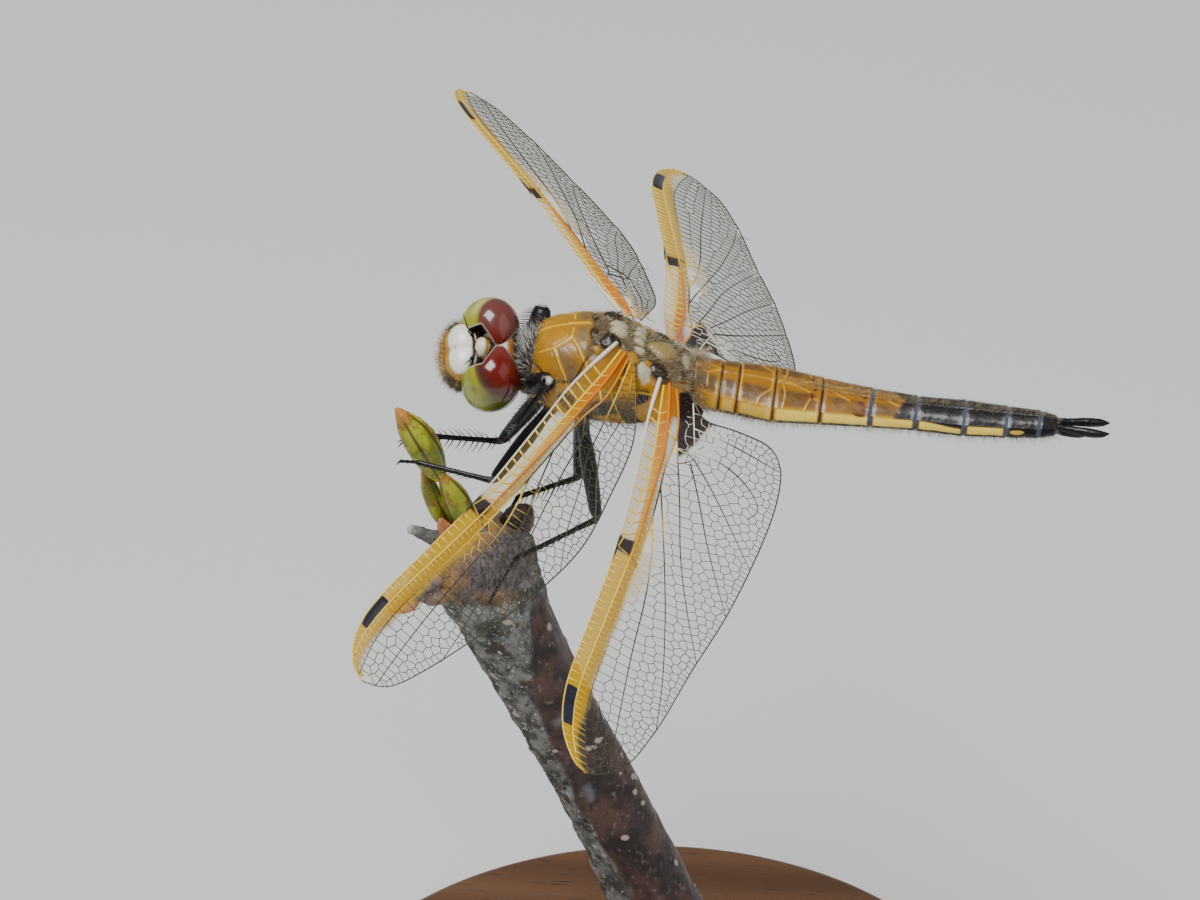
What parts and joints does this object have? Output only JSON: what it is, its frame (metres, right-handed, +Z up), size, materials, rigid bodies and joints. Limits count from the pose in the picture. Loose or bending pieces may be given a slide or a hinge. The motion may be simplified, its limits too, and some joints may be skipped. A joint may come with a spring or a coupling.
{
  "type": "life-size dragonfly model on a twig perch",
  "caption": "Still life-size model of a four-spotted chaser dragonfly gripping a budding twig tip, with open wings, on a rod and a round wooden base.",
  "frame": {"origin": "middle of the underside of the display stand's round base", "axes": "+Z up, the insect's head towards -X and its tail towards +X, its left wings towards -Y"},
  "size_m": [0.0549, 0.0737, 0.0665],
  "materials": {
    "eye": "glossy compound eye, wine-brown cap over olive and lime",
    "face": "shiny cream-white plate",
    "mouth": "orange-brown, satin",
    "neck": "dark and dull under grey hair",
    "thorax": "amber shell with gold raised lines",
    "abdomen": "amber shell with gold lines and dark joints",
    "tail": "black shell with yellow patches on the sides",
    "leg": "black, satin",
    "wing_membrane": "clear film, tinted amber along the front edge",
    "wing_vein": "dark veins, gold and orange near the front edge",
    "hair": "fine pale and dark hairs",
    "bark": "rough grey-brown bark with pale pores",
    "bud": "green-yellow bud with brown edges",
    "stand_wood": "oiled walnut",
    "stand_steel": "brushed along its length"
  },
  "bodies": {
    "root": {"abdomen_01": "abdomen", "abdomen_02": "abdomen", "abdomen_03": "abdomen", "abdomen_04": "abdomen", "abdomen_05": "abdomen", "abdomen_06": "abdomen", "abdomen_07": "tail", "abdomen_08": "tail", "abdomen_09": "tail", "abdomen_10": "tail", "antenna_left": "leg", "antenna_right": "leg", "cercus_left": "tail", "cercus_right": "tail", "epiproct": "tail", "eye_left": "eye", "eye_right": "eye", "femur_fore_left": "leg", "femur_fore_right": "leg", "femur_hind_left": "leg", "femur_hind_right": "leg", "femur_mid_left": "leg", "femur_mid_right": "leg", "head_capsule": "neck", "head_clypeus": "mouth", "head_frons": "face", "head_labrum": "mouth", "head_vertex": "face", "mesothorax": "thorax", "metathorax": "thorax", "perch_bud_dark": "bark", "perch_bud_lower": "bud", "perch_bud_round": "bark", "perch_bud_side": "bud", "perch_bud_upper": "bud", "perch_scale": "bark", "perch_spur": "bark", "perch_twig": "bark", "prothorax": "neck", "stand_base": "stand_wood", "stand_rod": "stand_steel", "tarsus_fore_left": "leg", "tarsus_fore_right": "leg", "tarsus_hind_left": "leg", "tarsus_hind_right": "leg", "tarsus_mid_left": "leg", "tarsus_mid_right": "leg", "tibia_fore_left": "leg", "tibia_fore_right": "leg", "tibia_hind_left": "leg", "tibia_hind_right": "leg", "tibia_mid_left": "leg", "tibia_mid_right": "leg", "wing_fore_left": "wing_membrane", "wing_fore_right": "wing_membrane", "wing_hind_left": "wing_membrane", "wing_hind_right": "wing_membrane"}
  },
  "joints": []
}
